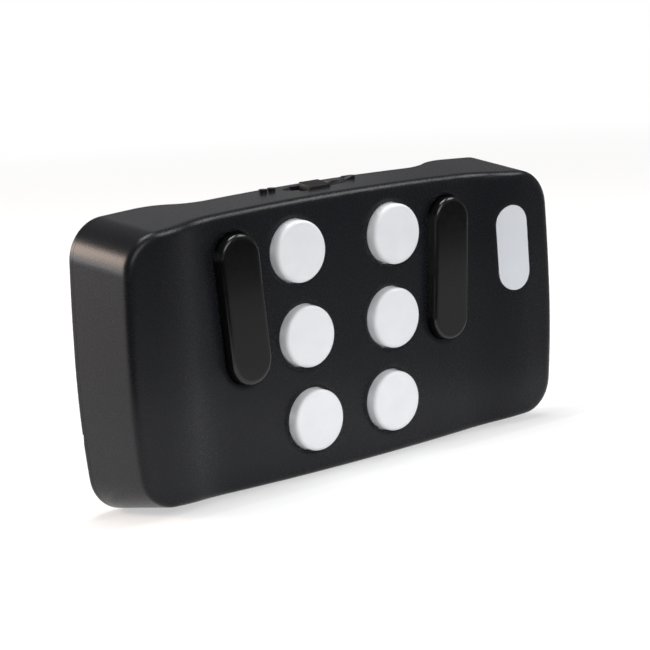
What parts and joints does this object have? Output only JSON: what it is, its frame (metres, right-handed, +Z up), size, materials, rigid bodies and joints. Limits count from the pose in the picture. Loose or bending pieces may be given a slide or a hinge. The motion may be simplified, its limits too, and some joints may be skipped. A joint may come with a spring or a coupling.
{
  "type": "braille keyboard",
  "caption": "Pocket braille keyboard in a dark shell: round white dot keys in two columns between two long black keys, power slide and raised marks on the upper side.",
  "frame": {"origin": "bottom middle of the whole device, which stands upright on its lower long side", "axes": "+X along the length, to the right seen from the key side; +Y from the key side to the rear; +Z up, from the lower long side to the upper one"},
  "size_m": [0.1042, 0.0172, 0.0546],
  "materials": {
    "shell_plastic": "fine moulded texture, soft sheen",
    "cover_plastic": "fine moulded texture, soft sheen",
    "white_key_plastic": "smooth, satin",
    "black_key_plastic": "smooth, glossy",
    "knob_plastic": "satin",
    "label_film": "printed film, plain",
    "circuit_board": "solder mask",
    "switch_plastic": "moulded",
    "plunger_plastic": "moulded",
    "plated_steel": "plated",
    "cell_foil": "laminated foil",
    "lead_sheath": "extruded",
    "plug_nylon": "moulded",
    "foam": "closed-cell foam",
    "chip_resin": "moulded resin",
    "screw_steel": "blackened",
    "foot_rubber": "matt"
  },
  "bodies": {
    "housing": {"front_shell": "shell_plastic", "back_cover": "cover_plastic", "label_plate": "label_film", "main_board": "circuit_board", "slide_switch_body": "switch_plastic", "port_shell": "plated_steel", "port_tongue": "switch_plastic", "battery_cell": "cell_foil", "battery_leads": "lead_sheath", "battery_plug": "plug_nylon", "foam_pad": "foam", "vibration_motor": "plated_steel", "wireless_module": "plated_steel", "processor": "chip_resin", "small_parts": "chip_resin", "push_switch_1": "switch_plastic", "push_switch_2": "switch_plastic", "push_switch_3": "switch_plastic", "push_switch_4": "switch_plastic", "push_switch_5": "switch_plastic", "push_switch_6": "switch_plastic", "push_switch_left": "switch_plastic", "push_switch_right": "switch_plastic", "board_screw_1": "screw_steel", "case_screw_1": "screw_steel", "rubber_foot_1": "foot_rubber", "board_screw_2": "screw_steel", "case_screw_2": "screw_steel", "rubber_foot_2": "foot_rubber", "board_screw_3": "screw_steel", "case_screw_3": "screw_steel", "rubber_foot_3": "foot_rubber", "board_screw_4": "screw_steel", "case_screw_4": "screw_steel", "rubber_foot_4": "foot_rubber"},
    "power_slide": {"power_knob": "knob_plastic"},
    "key_1": {"dot_key_1": "white_key_plastic", "plunger_1": "plunger_plastic"},
    "key_2": {"dot_key_2": "white_key_plastic", "plunger_2": "plunger_plastic"},
    "key_3": {"dot_key_3": "white_key_plastic", "plunger_3": "plunger_plastic"},
    "key_4": {"dot_key_4": "white_key_plastic", "plunger_4": "plunger_plastic"},
    "key_5": {"dot_key_5": "white_key_plastic", "plunger_5": "plunger_plastic"},
    "key_6": {"dot_key_6": "white_key_plastic", "plunger_6": "plunger_plastic"},
    "side_key_left": {"long_key_left": "black_key_plastic", "plunger_left": "plunger_plastic"},
    "side_key_right": {"long_key_right": "black_key_plastic", "plunger_right": "plunger_plastic"}
  },
  "joints": [
    {"name": "power_slide_move", "type": "slide", "parent": "housing", "child": "power_slide", "axis": [1, 0, 0], "range_m": [-0.002, 0]},
    {"name": "key_1_press", "type": "slide", "parent": "housing", "child": "key_1", "axis": [0, 1, 0], "range_m": [0, 0.0005], "stiffness_N_per_m": 1500, "springref_m": -0.0003},
    {"name": "key_2_press", "type": "slide", "parent": "housing", "child": "key_2", "axis": [0, 1, 0], "range_m": [0, 0.0005], "stiffness_N_per_m": 1500, "springref_m": -0.0003},
    {"name": "key_3_press", "type": "slide", "parent": "housing", "child": "key_3", "axis": [0, 1, 0], "range_m": [0, 0.0005], "stiffness_N_per_m": 1500, "springref_m": -0.0003},
    {"name": "key_4_press", "type": "slide", "parent": "housing", "child": "key_4", "axis": [0, 1, 0], "range_m": [0, 0.0005], "stiffness_N_per_m": 1500, "springref_m": -0.0003},
    {"name": "key_5_press", "type": "slide", "parent": "housing", "child": "key_5", "axis": [0, 1, 0], "range_m": [0, 0.0005], "stiffness_N_per_m": 1500, "springref_m": -0.0003},
    {"name": "key_6_press", "type": "slide", "parent": "housing", "child": "key_6", "axis": [0, 1, 0], "range_m": [0, 0.0005], "stiffness_N_per_m": 1500, "springref_m": -0.0003},
    {"name": "side_key_left_press", "type": "slide", "parent": "housing", "child": "side_key_left", "axis": [0, 1, 0], "range_m": [0, 0.0005], "stiffness_N_per_m": 1500, "springref_m": -0.0003},
    {"name": "side_key_right_press", "type": "slide", "parent": "housing", "child": "side_key_right", "axis": [0, 1, 0], "range_m": [0, 0.0005], "stiffness_N_per_m": 1500, "springref_m": -0.0003}
  ]
}
